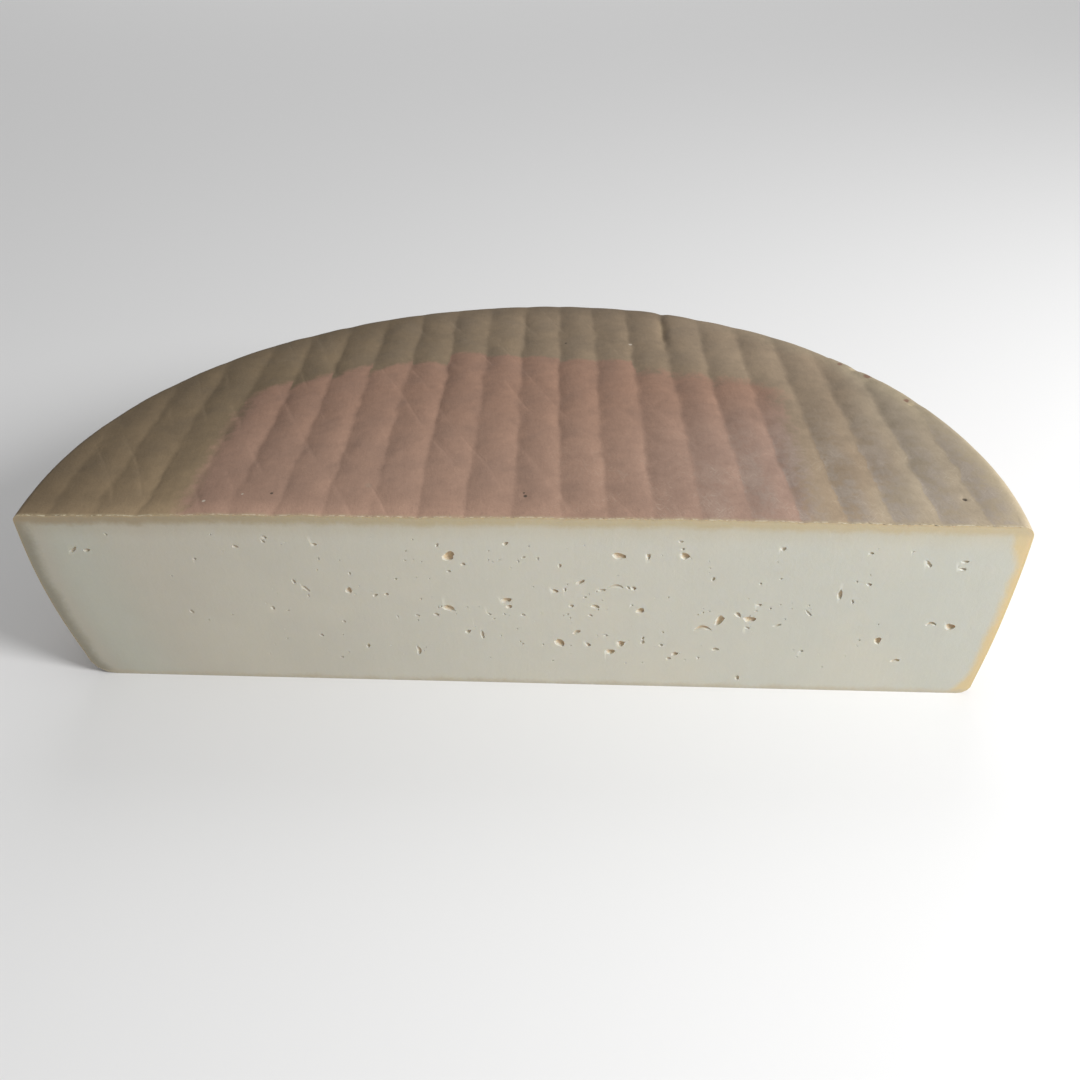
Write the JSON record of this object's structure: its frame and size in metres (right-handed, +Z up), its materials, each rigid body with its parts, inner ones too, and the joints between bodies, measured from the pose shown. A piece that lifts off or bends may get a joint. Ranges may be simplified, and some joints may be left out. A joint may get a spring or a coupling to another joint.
{
  "type": "half cheese wheel",
  "caption": "Cut half of a round, ribbed-rind semi-hard cheese wheel, lying on its flat bottom face with the paste and its small eyes showing on the cut.",
  "frame": {"origin": "on the wheel's own axis, on the flat bottom face that it rests on", "axes": "+X along the cut face, +Y away from the cut face into the half wheel, +Z up from the bottom face to the ribbed top"},
  "size_m": [0.3015, 0.1525, 0.0676],
  "materials": {
    "cheese": "dull, slightly waxy washed rind, pink-brown to grey-olive with shallow ribs on top; smooth ivory paste with small eyes and a golden band under the rind on the cut face"
  },
  "bodies": {
    "root": {"half_wheel": "cheese"}
  },
  "joints": []
}
